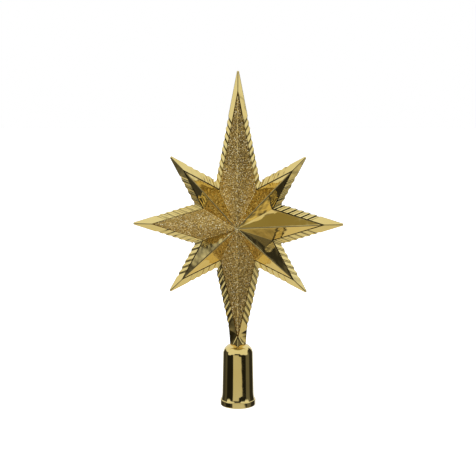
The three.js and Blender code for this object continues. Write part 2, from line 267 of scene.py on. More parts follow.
def applied(obj):
    """The object with its modifiers turned into plain mesh."""
    graph = bpy.context.evaluated_depsgraph_get()
    mesh = bpy.data.meshes.new_from_object(obj.evaluated_get(graph))
    old = obj.data
    obj.modifiers.clear()
    obj.data = mesh
    bpy.data.meshes.remove(old)
    return obj


def bevelled(obj, width):
    bevel = obj.modifiers.new("soft creases", "BEVEL")
    bevel.width = width
    bevel.segments = SOFT_SEGMENTS
    bevel.limit_method = "WEIGHT"
    bevel.use_clamp_overlap = True
    return applied(obj)


def combined(obj, other, operation):
    """Joins another solid to this one or cuts it away, and removes the other."""
    boolean = obj.modifiers.new(operation.lower(), "BOOLEAN")
    boolean.operation = operation
    boolean.object = other
    boolean.solver = "MANIFOLD"
    applied(obj)
    bpy.data.objects.remove(other)
    return obj


def shaded(obj, degrees=30):
    obj.data.shade_smooth()
    obj.data.set_sharp_from_angle(angle=math.radians(degrees))
    weighted = obj.modifiers.new("flat facets stay flat", "WEIGHTED_NORMAL")
    weighted.keep_sharp = True
    return applied(obj)


def measure(obj):
    bm = bmesh.new()
    bm.from_mesh(obj.data)
    open_edges = sum(not e.is_manifold for e in bm.edges)
    triangles = sum(len(f.verts) - 2 for f in bm.faces)
    volume = bm.calc_volume() / MM ** 3
    print(f"{obj.name}: {triangles} triangles, {open_edges} open edges, {volume:.0f} mm3")
    bm.free()


# %% [markdown]
# ## The border and the neck
# The first body of a half is everything outside the inner star: rims, border strips, blunt tips,
# and the neck whose keel runs out onto the socket's shoulder. It could be cut from a block, but
# faces between named points leave each strip one flat mirror. It reaches a little under the inner
# star, which is added later and hides the joint as it does on the moulding.

# %% Border body
LOW_PEAK = point(0, 0, PEAK_HEIGHT - 3 * STEP)  # where the border body ends under the inner star


def neck_points(ray):
    """The neck's four outer corners, its four facet feet and the end of its keel."""
    crown = CENTRE_Z - SOCKET_TOP
    end = crown + SHOULDER_RADIUS
    spots = ((crown, -1), (end, -1), (end, 1), (crown, 1))
    edges = [ray.at(d, s * NECK_HALVES[1]) for d, s in spots]
    feet = [ray.at(d, s * KEEL_HALF, KEEL_FOOT_HEIGHT) for d, s in spots]
    return *edges, *feet, ray.at(end, 0, SOCKET_TOP_RADIUS + FIT_GAP / 2)


def border_body(side):
    store = FaceStore(side)
    outline = []
    for ray in rays:
        (o0, o1), (i0, i1), (t0, t1) = ray.outer, ray.inner, ray.tips
        crest, end = ray.crest, ray.ridge_end
        store.add([i0, crest, LOW_PEAK], [crest, i1, LOW_PEAK])
        if ray.kind == "bottom":
            e0, e1, e2, e3, f0, f1, f2, f3, keel = neck_points(ray)
            store.add(
                [o0, t0, crest, i0],
                [t0, e0, f0, crest],
                [e0, e1, f1, f0],
                [f0, f1, keel, crest],
                [e1, e2, f2, keel, f1],
                [keel, f2, f3, crest],
                [e2, e3, f3, f2],
                [e3, t1, crest, f3],
                [t1, o1, i1, crest],
            )
            outline += [t0, e0, e1, e2, e3, t1, o1]
        else:
            store.add([o0, t0, end, crest, i0], [t0, t1, end], [t1, o1, i1, crest, end])
            outline += [t0, t1, o1]
    ground = [point(p.x, p.y, 0) for p in outline]
    for (p, a), (q, b) in looped(outline, ground):
        store.add([a, b, q, p])
    store.add(ground[::-1])
    hidden = {key_of(p) for ray in rays for p in (LOW_PEAK, ray.crest, *ray.inner)}

    def weight(a, b):
        if a.z == 0 and b.z == 0:
            return SEAM_WEIGHT
        if key_of(a) in hidden and key_of(b) in hidden:
            return 0
        return 0 if a.z == 0 or b.z == 0 else 1

    store.weigh(weight)
    return finished("border", store.bm)


# %% [markdown]
# ## The inner star
# It stands a step above the border, with a narrow channel round it that carries a dark line of
# painted shade. Its sixteen facets are what the glitter is sprayed on, and what mirrors the room
# on the bare rays.
# It could be raised out of the border's own faces, but as a body of its own it gets the wide
# rounding of its ridges, and the channel can be cut before it goes in.

# %% Inner star body
RIDGE_ROUND = 0.9 * MM
VALLEY_WEIGHT = 0.2  # how round a valley is against a ridge
OUTLINE_WEIGHT = 0.28
INNER_FOOT = 1.0
CHANNEL_WIDTH = 0.8
CHANNEL_DEPTH = 1.0
CHANNEL_TOP = 30.0


def inner_outline(rise=STEP):
    """The inner star's corners, that far above the border."""
    ring = []
    for ray in rays:
        ring += [ray.crest, ray.inner[1]]
    return [p + point(0, 0, rise) for p in ring]


def grown(ring, width):
    """The outline with every side moved outwards by the width."""
    made = []
    for k, p in enumerate(ring):
        before, after = ring[k - 1], ring[(k + 1) % len(ring)]
        sides = []
        for a, b in ((before, p), (p, after)):
            way = point(b.x - a.x, b.y - a.y, 0).normalized()
            sides.append(point(way.y, -way.x, 0))
        middle = (sides[0] + sides[1]).normalized()
        made.append(p + middle * (width / middle.dot(sides[0])))
    return made


def channel_cutter(side):
    """A block whose foot lies under the inner star and a channel's width outside it."""
    store = FaceStore(side)
    foot = grown(inner_outline(-CHANNEL_DEPTH), CHANNEL_WIDTH)
    top = [point(p.x, p.y, CHANNEL_TOP) for p in foot]
    for (p, a), (q, b) in looped(foot, top):
        store.add([q, p, LOW_PEAK], [p, q, b, a])
    store.add(top)
    return finished("channel", store.bm)


def inner_star_body(side):
    store = FaceStore(side)
    top = inner_outline()
    foot = [point(p.x, p.y, INNER_FOOT) for p in top]
    peak = point(0, 0, PEAK_HEIGHT)
    for (p, a), (q, b) in looped(top, foot):
        store.add([p, q, peak], [a, b, q, p])
    store.add(foot[::-1])
    notches = {key_of(p) for p in top[1::2]}

    def weight(a, b):
        if min(a.z, b.z) <= INNER_FOOT:
            return 0
        if max(a.z, b.z) < PEAK_HEIGHT - STEP:
            return OUTLINE_WEIGHT
        return VALLEY_WEIGHT if key_of(a) in notches or key_of(b) in notches else 1

    store.weigh(weight)
    return finished("inner_star", store.bm)


print("inner star corners:", len(inner_outline()))


# %% [markdown]
# ## Ribs
# The border is ribbed like a rope: round slanted ribs with a narrow valley between each two. What
# repeats is the valley, so one bar with two hollow cheeks is copied along every border edge by
# Geometry Nodes and cut out of the border. Its cheeks leave the ribs' round backs behind. A
# second, upright bar at the outer end of each valley scallops the rim, which a bump in the finish
# couldn't do, as a bump never changes an outline.

# %% Node tree helpers
def new_tree(kind, name, inputs, outputs):
    """A node tree with inputs and outputs that are given as their names and types."""
    tree = bpy.data.node_groups.new(name, kind)
    for direction, sockets in (("INPUT", inputs), ("OUTPUT", outputs)):
        for label, sort in sockets.items():
            tree.interface.new_socket(label, in_out=direction, socket_type="NodeSocket" + sort)
    return tree


def geometry_tree(name, **inputs):
    whole = {"Geometry": "Geometry"}
    return new_tree("GeometryNodeTree", name, {**whole, **inputs}, whole)


def put(tree, socket, value):
    """Sets a socket's value, or links it to an output or to a node's first output."""
    if isinstance(value, bpy.types.Node):
        value = value.outputs[0]
    if isinstance(value, bpy.types.NodeSocket):
        tree.links.new(value, socket)
    else:
        socket.default_value = value


def fill(tree, node, **values):
    """Sets or links a node's inputs by their names."""
    for name, value in values.items():
        put(tree, node.inputs[name.replace("_", " ")], value)


def add_node(tree, kind, settings=None, **values):
    node = tree.nodes.new(kind)
    for key, value in (settings or {}).items():
        setattr(node, key, value)
    fill(tree, node, **values)
    return node


def calculate(tree, operation, a, b):
    node = add_node(tree, "ShaderNodeMath", {"operation": operation})
    put(tree, node.inputs[0], a)
    put(tree, node.inputs[1], b)
    return node


def run_tree(obj, tree, **values):
    """Runs a Geometry Nodes tree on the object, with its inputs by name."""
    modifier = obj.modifiers.new(tree.name, "NODES")
    modifier.node_group = tree
    for item in tree.interface.items_tree:
        if item.in_out == "INPUT" and item.name in values:
            modifier[item.identifier] = values[item.name]
    return applied(obj)


# %% Valley bar
RIB_PITCH = 5.6
RIB_ANGLE = math.radians(40)
RIB_ROUND = 0.4  # how deep the valleys are below the ribs' backs
RIM_SCALLOP = 0.6
LAND_SHARE = 0.08  # the part of a rib's back that stays on the border's plane
VALLEY_STEPS = 7
BAR_LID = 1.5  # how far a valley's bar stands out of the surface
SMOOTH_ENDS = {"top": 38.0, "side": 18.0, "upper": 14.0, "lower": 14.0, "bottom": 2.0}


def valley_bar(name, half_width, depth):
    """A unit-long bar along Z: X runs across the valley and Y out of the surface."""
    section = []
    for k in range(-VALLEY_STEPS, VALLEY_STEPS + 1):
        share = k / VALLEY_STEPS
        section.append((share * half_width, -depth * (1 + math.cos(share * math.pi)) / 2))
    section += [(half_width, BAR_LID), (-half_width, BAR_LID)]
    bm = bmesh.new()
    rings = [[bm.verts.new((x * MM, y * MM, z)) for x, y in section] for z in (0, 1)]
    bm.faces.new(rings[0][::-1])
    bm.faces.new(rings[1])
    for (a, b), (c, d) in looped(*rings):
        bm.faces.new([a, c, d, b])
    return finished(name, bm)


across_pitch = RIB_PITCH * math.sin(RIB_ANGLE)
slanted_bar = valley_bar("slanted_bar", across_pitch / 2 * (1 - LAND_SHARE), RIB_ROUND)
upright_bar = valley_bar("upright_bar", RIB_PITCH / 2 * (1 - LAND_SHARE), RIM_SCALLOP)
print("faces of one valley bar:", len(slanted_bar.data.polygons))

# %% [markdown]
# A border edge is drawn as a two-point line. Each point knows which way its valley runs, how long
# it is, and which way the surface faces. Resampling the line spreads the valleys at the ribs'
# pitch, and blends those facts between its ends.

# %% Rib tree
rib_tree = geometry_tree("ribs along an edge", Bar="Object", Pitch="Float", Material="Material")


def build_rib_tree(tree):
    given = add_node(tree, "NodeGroupInput")
    curve = add_node(tree, "GeometryNodeMeshToCurve", Mesh=given.outputs["Geometry"])
    spaced = add_node(
        tree,
        "GeometryNodeResampleCurve",
        {"mode": "LENGTH"},
        Curve=curve,
        Length=given.outputs["Pitch"],
    )
    vector = {"data_type": "FLOAT_VECTOR"}
    run = add_node(tree, "GeometryNodeInputNamedAttribute", vector, Name="run")
    out = add_node(tree, "GeometryNodeInputNamedAttribute", vector, Name="out")
    turn = add_node(
        tree,
        "FunctionNodeAxesToRotation",
        {"primary_axis": "Z", "secondary_axis": "Y"},
        Primary_Axis=run,
        Secondary_Axis=out,
    )
    length = add_node(tree, "ShaderNodeVectorMath", {"operation": "LENGTH"})
    put(tree, length.inputs[0], run)
    bar = add_node(tree, "GeometryNodeObjectInfo", Object=given.outputs["Bar"])
    copies = add_node(
        tree,
        "GeometryNodeInstanceOnPoints",
        Points=spaced,
        Instance=bar.outputs["Geometry"],
        Rotation=turn,
        Scale=add_node(tree, "ShaderNodeCombineXYZ", X=1.0, Y=1.0, Z=length.outputs["Value"]),
    )
    solid = add_node(tree, "GeometryNodeRealizeInstances", Geometry=copies)
    dressed = add_node(
        tree, "GeometryNodeSetMaterial", Geometry=solid, Material=given.outputs["Material"]
    )
    add_node(tree, "NodeGroupOutput", Geometry=dressed)


build_rib_tree(rib_tree)
print("nodes of the rib tree:", len(rib_tree.nodes))

# %% Valley lines
UNDER_INNER_STAR = 0.8
PAST_RIM = 1.5
UPRIGHT_FOOT = -1.0
UPRIGHT_LENGTH = 2.6
LAST_VALLEY_ROOM = 0.01 * RIB_PITCH  # so that rounding doesn't lose the last valley


def valley_lines(side):
    """For each border strip, the first and last valley: where it starts, runs and faces."""
    made = []
    for ray in rays:
        for outer, inner, tip in zip(ray.outer, ray.inner, ray.tips):
            edge = (tip - outer).normalized()
            inner_edge = (ray.crest - inner).normalized()
            across = point(inner.x - outer.x, inner.y - outer.y, 0)
            lag = across.cross(edge).length / math.tan(RIB_ANGLE)
            start_lag = (outer - inner).dot(edge)
            first = lag - start_lag + RIB_PITCH / 2
            free = (tip - outer).length - SMOOTH_ENDS[ray.kind] - first
            last = first + int(free // RIB_PITCH) * RIB_PITCH
            face = edge.cross(inner - outer).normalized()
            face = face if face.z > 0 else -face
            outward = point(edge.y, -edge.x, 0)
            outward = outward if outward.dot(outer - inner) > 0 else -outward
            slanted, upright = [], []
            for s in (first, last + LAST_VALLEY_ROOM):
                at = outer + edge * s
                to = inner + inner_edge * max(s + start_lag - lag, 0)
                way = (to - at).normalized()
                start = at - way * PAST_RIM
                slanted.append((start, to + way * UNDER_INNER_STAR - start, face))
                foot = point(at.x, at.y, UPRIGHT_FOOT)
                upright.append((foot, point(0, 0, UPRIGHT_LENGTH), outward))
            made.append((slanted_bar, line_mesh("slanted", slanted, side)))
            made.append((upright_bar, line_mesh("upright", upright, side)))
    return made


def line_mesh(name, rows, side):
    mesh = bpy.data.meshes.new(name)
    mesh.from_pydata([place(start, side) for start, _, _ in rows], [(0, 1)], [])
    for label, column, scale in (("run", 1, MM), ("out", 2, 1)):
        layer = mesh.attributes.new(label, "FLOAT_VECTOR", "POINT")
        for k, row in enumerate(rows):
            way = row[column]
            layer.data[k].vector = Vector((way.x, side * way.z, way.y)) * scale
    return linked(name, mesh)


# %% [markdown]
# ## Trimming the neck
# The neck stands on the socket's round shoulder. Everything inside the shoulder, grown by the
# fit's clearance, is turned on the axis and taken away, so that the neck's foot follows the dome.

# %% Turned solids
ROUND_STEPS = 128
SHOULDER_STEPS = 16
SHOULDER_CENTRE = (SOCKET_TOP_RADIUS - SHOULDER_RADIUS, SOCKET_TOP - SHOULDER_RADIUS)
MERGE_DISTANCE = 0.001 * MM


def arc(centre, radius, start, end, steps):
    """Points (radius, z) on an arc, from one angle to another in degrees."""
    angles = [math.radians(start + (end - start) * k / steps) for k in range(steps + 1)]
    return [(centre[0] + radius * math.cos(a), centre[1] + radius * math.sin(a)) for a in angles]


def turned(name, profile):
    """Spins a closed profile of (radius, z) points, in millimetres, about the socket's axis."""
    bm = bmesh.new()
    rings = []
    for k in range(ROUND_STEPS):
        angle = 2 * math.pi * k / ROUND_STEPS
        c, s = math.cos(angle) * MM, math.sin(angle) * MM
        rings.append([bm.verts.new((r * c, r * s, z * MM)) for r, z in profile])
    for (ring,), (next_ring,) in looped(rings):
        for (p, a, b), (q, d, c) in looped(profile, ring, next_ring):
            if max(p[0], q[0]) > 0:
                bm.faces.new([a, b, c, d])
    bmesh.ops.remove_doubles(bm, verts=bm.verts, dist=MERGE_DISTANCE)
    bmesh.ops.dissolve_degenerate(bm, edges=bm.edges, dist=MERGE_DISTANCE)
    return finished(name, bm)


def socket_space():
    shoulder = arc(SHOULDER_CENTRE, SHOULDER_RADIUS + FIT_GAP, 90, 0, SHOULDER_STEPS)
    rim = SOCKET_TOP_RADIUS + FIT_GAP
    return turned("socket_space", [(0, SOCKET_TOP + FIT_GAP), *shoulder, (rim, 0), (0, 0)])


# %% [markdown]
# ## Inside a half
# A real half is a thin moulding, open towards the other one, with half a spigot that goes through
# the socket's crown. The hollow could follow every step of the relief at one wall's distance, but
# no view reaches it in a closed star, so a plain faceted body that is taken away is enough. The
# spigot is turned whole, and then loses its other half.

# %% The hollow and the spigot
HOLLOW_FLOOR = -0.5
WALL = 2.6
HOLLOW_END = 7.0  # from a ray's tip to the end of its hollow
HOLLOW_TOP_END = 11.0
HOLLOW_CREST_END = 4.0
HOLLOW_LOW_SHARE = 0.91  # of a notch's distance from the centre
HOLLOW_HIGH_SHARE = 0.95
BLOCK = 0.1
SPIGOT = [(3, 45), (4.4, 45), (5.8, 50.6), (5.8, 51), (5, 51), (5, 54.5), (3, 54.5)]


def hollow_body(side):
    """The room inside a half, open at the parting plane."""
    store = FaceStore(side)
    peak = point(0, 0, PEAK_HEIGHT - WALL)
    middle = point(0, 0, HOLLOW_FLOOR)
    for ray in rays:
        reach = (ray.tips[0] + ray.tips[1]).length / 2
        tip = ray.at(reach - HOLLOW_END, 0, HOLLOW_FLOOR)
        top_distance = min(CRESTS[ray.kind] - HOLLOW_CREST_END, reach - HOLLOW_TOP_END)
        slope = (PEAK_HEIGHT - ray.crest.z) / CRESTS[ray.kind]
        top = ray.at(top_distance, 0, PEAK_HEIGHT - slope * top_distance - WALL)
        corners = []
        for outer, inner in zip(ray.outer, ray.inner):
            low = outer * HOLLOW_LOW_SHARE
            high = inner * HOLLOW_HIGH_SHARE
            low.z = HOLLOW_FLOOR
            high.z = inner.z - WALL
            corners.append((low, high))
        (low0, high0), (low1, high1) = corners
        store.add(
            [low0, tip, top],
            [low0, top, high0],
            [tip, low1, top],
            [low1, high1, top],
            [high0, top, peak],
            [top, high1, peak],
            [tip, low0, middle],
            [low1, tip, middle],
        )
    return finished("hollow", store.bm)


def half_space(side):
    """A block that fills the other half of the socket's room."""
    bm = bmesh.new()
    centre = Matrix.Translation((0, -side * BLOCK / 2, BLOCK / 2))
    bmesh.ops.create_cube(bm, size=BLOCK, matrix=centre)
    return finished("half_space", bm)


# %% [markdown]
# ## The two halves
# The faces in the narrow channel round the inner star and along the ridges carry a mark that the
# finish reads as a thin brown line: painted shade in the channel and a painted dark reflection on
# the ridges. The marks could be painted by hand, but a face's distance from a few known lines
# puts them exactly in place. On the sprayed rays the glitter hides most of them.

# %% Star halves
SPRAYED = ("top", "left", "bottom")
# The dark lines below are painted shade in the channel and painted dark reflections on the ridges
CHANNEL_LIP = 0.06
RIDGE_LINE = 0.4
RIDGE_SHADE_STRENGTH = 0.8
SPRAYED_SHADE_STRENGTH = 0.35


def triangulated(obj):
    bm = bmesh.new()
    bm.from_mesh(obj.data)
    bmesh.ops.triangulate(bm, faces=bm.faces)
    bm.to_mesh(obj.data)
    bm.free()
    return obj


def bare(ray, side):
    return side > 0 or ray.name not in SPRAYED


def shade_line_paths(side):
    """Where the shade is painted: along the channel and on the ridges of the bare rays."""
    ring = inner_outline(0)
    made = []
    for k, start in enumerate(ring):
        ray = rays[(k + 1) // 2 % len(rays)]
        end = ring[(k + 1) % len(ring)]
        shade_strength = 1 if bare(ray, side) else SPRAYED_SHADE_STRENGTH
        made.append((start, end - start, -CHANNEL_LIP, CHANNEL_WIDTH + CHANNEL_LIP, shade_strength))
    for ray in rays:
        if ray.kind != "bottom":
            start = point(0, 0, 0) if bare(ray, side) else ray.crest
            end = ray.ridge_end
            made.append((start, end - start, -RIDGE_LINE, RIDGE_LINE, RIDGE_SHADE_STRENGTH))
    return made


def mark_shade_lines(obj, side):
    """Stores how strong the painted shade is on each face."""
    lines = shade_line_paths(side)
    # painted shade: how dark each face's brown line is, from its distance to the lines
    layer = obj.data.attributes.new("thin_coat", "FLOAT", "FACE")
    marked = 0
    for face in obj.data.polygons:
        x, y, z = face.center / MM
        if side * y < INNER_FOOT:
            continue
        for start, run, low, high, shade_strength in lines:
            from_start = point(x - start.x, z - CENTRE_Z - start.y, 0)
            flat = point(run.x, run.y, 0)
            share = from_start.dot(flat) / flat.length_squared
            outwards = -flat.cross(from_start).z / flat.length
            if 0 <= share <= 1 and low < outwards < high:
                layer.data[face.index].value = shade_strength
                marked += 1
                break
    print(obj.name, "faces with painted shade:", marked)


def star_half(name, side):
    body = triangulated(bevelled(border_body(side), EDGE_SOFTNESS))
    for bar, line in valley_lines(side):
        cutters = run_tree(line, rib_tree, Bar=bar, Pitch=RIB_PITCH * MM)
        combined(body, cutters, "DIFFERENCE")
    combined(body, channel_cutter(side), "DIFFERENCE")
    inner = triangulated(bevelled(inner_star_body(side), RIDGE_ROUND))
    combined(body, inner, "UNION")
    combined(body, socket_space(), "DIFFERENCE")
    combined(body, hollow_body(side), "DIFFERENCE")
    spigot = combined(turned("spigot", SPIGOT), half_space(side), "DIFFERENCE")
    combined(body, spigot, "UNION")
    body.name = name
    body.data.name = name
    mark_shade_lines(body, side)
    return shaded(body)


star_front = star_half("star_front_gold", -1)
measure(star_front)
star_back = star_half("star_back_gold", 1)
measure(star_back)
for bar in (slanted_bar, upright_bar):
    bpy.data.objects.remove(bar)

# %% [markdown]
# ## The socket
# A moulded cup: a shoulder like a rounded thimble, a barrel that widens a little downwards so
# that it leaves its mould, a flare, and a flanged foot. It is turned from one closed profile,
# inside and out, because a profile holds the radius of every edge, where a stack of cylinders
# would need each one rounded by itself.

# %% Socket
SOCKET_LOW_RADIUS = 13.45
SOCKET_WALL = 1.6
CROWN_HOLE = 5.3
FLANGE_RADIUS = 15.0
FLANGE_HEIGHT = 5.2
FLARE_HEIGHT = 6.0
FLARE_WIDTH = 0.7
EDGE_ROUND = 1.0
LIP_ROUND = 0.7
FLARE_GAP = 0.4  # how far above the flange the flare ends
FLARE_STEPS = 8
BORE_ROUND = 0.4
LIP_STEPS, EDGE_STEPS, BORE_STEPS = 5, 6, 4
SOCKET_SHARP_ANGLE = 40


def socket_profile():
    inner_radius = SHOULDER_RADIUS - SOCKET_WALL
    hole = CROWN_HOLE - SHOULDER_CENTRE[0]
    start = math.degrees(math.acos(hole / SHOULDER_RADIUS))
    inner_end = math.degrees(math.acos(hole / inner_radius))
    points = arc(SHOULDER_CENTRE, SHOULDER_RADIUS, start, 0, SHOULDER_STEPS)
    flare_top = FLANGE_HEIGHT + FLARE_HEIGHT
    points.append((SOCKET_LOW_RADIUS, flare_top))
    for k in range(1, FLARE_STEPS + 1):
        t = k / FLARE_STEPS
        height = flare_top - (FLARE_HEIGHT - FLARE_GAP) * t
        points.append((SOCKET_LOW_RADIUS + FLARE_WIDTH * t * t, height))
    bore = SOCKET_LOW_RADIUS - SOCKET_WALL
    lip = (FLANGE_RADIUS - LIP_ROUND, FLANGE_HEIGHT - LIP_ROUND)
    points += arc(lip, LIP_ROUND, 90, 0, LIP_STEPS)
    points += arc((FLANGE_RADIUS - EDGE_ROUND, EDGE_ROUND), EDGE_ROUND, 0, -90, EDGE_STEPS)
    points += arc((bore + BORE_ROUND, BORE_ROUND), BORE_ROUND, 270, 180, BORE_STEPS)
    points += arc(SHOULDER_CENTRE, inner_radius, 0, inner_end, SHOULDER_STEPS)
    return points


socket_cup = turned("socket_cup_gold", socket_profile())
shaded(socket_cup, SOCKET_SHARP_ANGLE)
measure(socket_cup)

# %% [markdown]
# ## Glitter
# The glitter is a lacquer that holds thousands of cut foil flakes. Each coat has a thin skin for
# the lacquer and the dust in it, in two panels that stop short of the ridge, where real glitter
# rubs thin. Over them lie flat hexagonal flakes. Geometry Nodes scatters them with a fixed seed,
# tilts each one a little, and stores a tone for each. A speckled texture would be lighter, but
# only loose flakes catch the light one by one. Stray flakes thin out over the facets beside the
# sprayed rays and round the centre, as a hand-held spray leaves them.

# %% Glitter tree
FLAKE_RADIUS = 0.34 * MM
FLAKE_THICKNESS = 0.03 * MM
FLAKE_LIFT = 0.2
FLAKE_TILT = math.radians(34)
FLAKES_PER_SQUARE_METRE = 3.6e6
FLAKE_SIDES = 6
SMALLEST_FLAKE = 0.55  # as shares of the flake's usual size
LARGEST_FLAKE = 1.3
TILT_SEED_X, TILT_SEED_Y, SPIN_SEED, SIZE_SEED, TONE_SEED = 11, 12, 13, 17, 19

glitter_tree = geometry_tree(
    "glitter coat",
    Skin="Object",
    Density="Float",
    Radius="Float",
    Tilt="Float",
    Seed="Int",
    Material="Material",
)


def random_number(tree, seed, low, high):
    """A number between low and high that differs from flake to flake."""
    node = add_node(tree, "FunctionNodeRandomValue", Seed=seed)
    put(tree, node.inputs[2], low)
    put(tree, node.inputs[3], high)
    return node.outputs[1]


def build_glitter_tree(tree):
    given = add_node(tree, "NodeGroupInput")
    spray = add_node(tree, "GeometryNodeInputNamedAttribute", Name="spray")
    points = add_node(
        tree,
        "GeometryNodeDistributePointsOnFaces",
        Mesh=given.outputs["Geometry"],
        Density=calculate(tree, "MULTIPLY", spray, given.outputs["Density"]),
        Seed=given.outputs["Seed"],
    )
    flake = add_node(
        tree,
        "GeometryNodeMeshCylinder",
        {"fill_type": "NGON"},
        Vertices=FLAKE_SIDES,
        Radius=given.outputs["Radius"],
        Depth=FLAKE_THICKNESS,
    )
    tilt = given.outputs["Tilt"]
    tilt_back = calculate(tree, "MULTIPLY", tilt, -1)
    angles = add_node(
        tree,
        "ShaderNodeCombineXYZ",
        X=random_number(tree, TILT_SEED_X, tilt_back, tilt),
        Y=random_number(tree, TILT_SEED_Y, tilt_back, tilt),
        Z=random_number(tree, SPIN_SEED, 0, math.pi),
    )
    leaning = add_node(tree, "FunctionNodeEulerToRotation", Euler=angles)
    turn = add_node(
        tree,
        "FunctionNodeRotateRotation",
        {"rotation_space": "LOCAL"},
        Rotation=points.outputs["Rotation"],
        Rotate_By=leaning,
    )
    copies = add_node(
        tree,
        "GeometryNodeInstanceOnPoints",
        Points=points,
        Instance=flake.outputs["Mesh"],
        Rotation=turn,
        Scale=random_number(tree, SIZE_SEED, SMALLEST_FLAKE, LARGEST_FLAKE),
    )
    toned = add_node(
        tree,
        "GeometryNodeStoreNamedAttribute",
        {"data_type": "FLOAT", "domain": "INSTANCE"},
        Geometry=copies,
        Name="flake_tone",
        Value=random_number(tree, TONE_SEED, 0, 1),
    )
    flakes = add_node(tree, "GeometryNodeRealizeInstances", Geometry=toned)
    skin = add_node(tree, "GeometryNodeObjectInfo", Object=given.outputs["Skin"])
    whole = tree.nodes.new("GeometryNodeJoinGeometry")
    put(tree, whole.inputs[0], flakes)
    put(tree, whole.inputs[0], skin.outputs["Geometry"])
    dressed = add_node(
        tree, "GeometryNodeSetMaterial", Geometry=whole, Material=given.outputs["Material"]
    )
    add_node(tree, "NodeGroupOutput", Geometry=dressed)


build_glitter_tree(glitter_tree)
print("nodes of the glitter tree:", len(glitter_tree.nodes))

# %% Glitter surfaces
SKIN_BOTTOM = 0.03
SKIN_TOP = 0.15
SKIN_MARGIN = 0.45
RIDGE_BAND = 0.3
RIDGE_LIFT = 0.12
PEAK_CAP = 1.1
STRAY_REACH = 11.0
STRAY_VALLEY = 17.0
SPRAY_MARGIN = 0.25
FULL_SPRAY = (1, 1, 1)
STRAY_SPRAY = (0.9, 0, 0.12)
RIDGE_ENDS = (0.02, 0.98)


def facet_corners(ray, which):
    """The peak, crest and notch corners of one of the ray's two facets."""
    notch = ray.inner[which] + point(0, 0, STEP)
    return point(0, 0, PEAK_HEIGHT), ray.crest + point(0, 0, STEP), notch


def facet_normal(corners):
    a, b, c = corners
    normal = (b - a).cross(c - a).normalized()
    return normal if normal.z > 0 else -normal


def inset(corners, margin):
    """The triangle with every side moved inwards by the margin."""
    a, b, c = corners
    sides = ((b - c).length, (c - a).length, (a - b).length)
    perimeter = sum(sides)
    centre = (a * sides[0] + b * sides[1] + c * sides[2]) / perimeter
    inner_radius = (b - a).cross(c - a).length / perimeter
    share = 1 - margin / inner_radius
    return [centre + (p - centre) * share for p in corners]


def glitter_skin(ray):
    store = FaceStore()
    for which in (0, 1):
        corners = facet_corners(ray, which)
        normal = facet_normal(corners)
        flat = inset(corners, SKIN_MARGIN)
        low = [p + normal * SKIN_BOTTOM for p in flat]
        high = [p + normal * SKIN_TOP for p in flat]
        store.add(high, low[::-1])
        for (a, b), (c, d) in looped(low, high):
            store.add([a, c, d, b])
    return finished(ray.name + "_skin", store.bm)


def square_patches(corners):
    a, b, c, d = corners
    return [([a, b, c], FULL_SPRAY), ([a, c, d], FULL_SPRAY)]


def ridge_patches(ray):
    """A narrow band along the ridge, in two triangles that face straight out from it."""
    corners = [facet_corners(ray, which) for which in (0, 1)]
    facing = (facet_normal(corners[0]) + facet_normal(corners[1])).normalized()
    peak, crest, _ = corners[0]
    ends = [peak.lerp(crest, share) + facing * RIDGE_LIFT for share in RIDGE_ENDS]
    sideways = ray.across * RIDGE_BAND
    return square_patches(
        [ends[0] - sideways, ends[0] + sideways, ends[1] + sideways, ends[1] - sideways]
    )


def peak_patches():
    """A small square over the peak, where all the ridges meet."""
    return square_patches([
        point(x * PEAK_CAP, y * PEAK_CAP, PEAK_HEIGHT - RIDGE_LIFT) for x, y in SQUARE
    ])


def spray_surface(ray):
    """The facets that the spray reaches, with how thickly it falls at each corner."""
    spot = rays.index(ray)
    neighbours = (rays[spot - 1], rays[(spot + 1) % len(rays)])
    patches = []
    for which in (0, 1):
        corners = facet_corners(ray, which)
        lift = facet_normal(corners) * FLAKE_LIFT
        patches.append(([p + lift for p in inset(corners, SPRAY_MARGIN)], FULL_SPRAY))
        corners = facet_corners(neighbours[which], 1 - which)
        lift = facet_normal(corners) * FLAKE_LIFT
        peak, crest, notch = inset(corners, SPRAY_MARGIN)
        reach = peak + (crest - peak).normalized() * STRAY_REACH
        valley = peak + (notch - peak).normalized() * STRAY_VALLEY
        patches.append(([p + lift for p in (peak, reach, valley)], STRAY_SPRAY))
    patches += ridge_patches(ray)
    if ray.kind == "top":
        patches += peak_patches()
    mesh = bpy.data.meshes.new(ray.name + "_spray")
    places = [place(p) for corners, _ in patches for p in corners]
    faces = []
    for k, (corners, _) in enumerate(patches):
        turn = (corners[1] - corners[0]).cross(corners[2] - corners[0]).z > 0
        faces.append((3 * k, 3 * k + 1, 3 * k + 2) if turn else (3 * k, 3 * k + 2, 3 * k + 1))
    mesh.from_pydata(places, [], faces)
    layer = mesh.attributes.new("spray", "FLOAT", "POINT")
    for k, value in enumerate(v for _, values in patches for v in values):
        layer.data[k].value = value
    return linked(ray.name + "_spray", mesh)


# %% [markdown]
# ## Finishes
# The moulded parts are metallised and then lacquered, so the metal has a thin clear coat over it.
# Image textures could do it, but noises on the piece's own coordinates need no unwrapping and
# have no seams. Three shader groups are shared. One gives the slow waves and the fine orange peel
# of a moulded surface, one the haze of handling, and one lets the tone drift a little, as a vacuum
# coat does.

# %% Shader groups
WAVE_LENGTH = 18 * MM
WAVE_HEIGHT = 0.9 * MM
PEEL_LENGTH = 1.6 * MM
PEEL_HEIGHT = 0.1 * MM
HAZE_LENGTH = 22 * MM
HAZE_DETAIL = 4
DRIFT_LENGTH = 45 * MM
MIDDLE_RANGE = (0.3, 0.7)  # where nearly all of a noise's values lie


def noise_of(tree, wavelength, detail=2):
    """A noise with features about one wavelength across."""
    return add_node(
        tree,
        "ShaderNodeTexNoise",
        Vector=add_node(tree, "ShaderNodeTexCoord").outputs["Object"],
        Scale=1 / wavelength,
        Detail=detail,
    ).outputs["Fac"]


def blend(tree, share, a, b, start=0, end=1):
    """A number that goes from a to b while the share goes from start to end."""
    return add_node(
        tree, "ShaderNodeMapRange", Value=share, From_Min=start, From_Max=end, To_Min=a, To_Max=b
    )


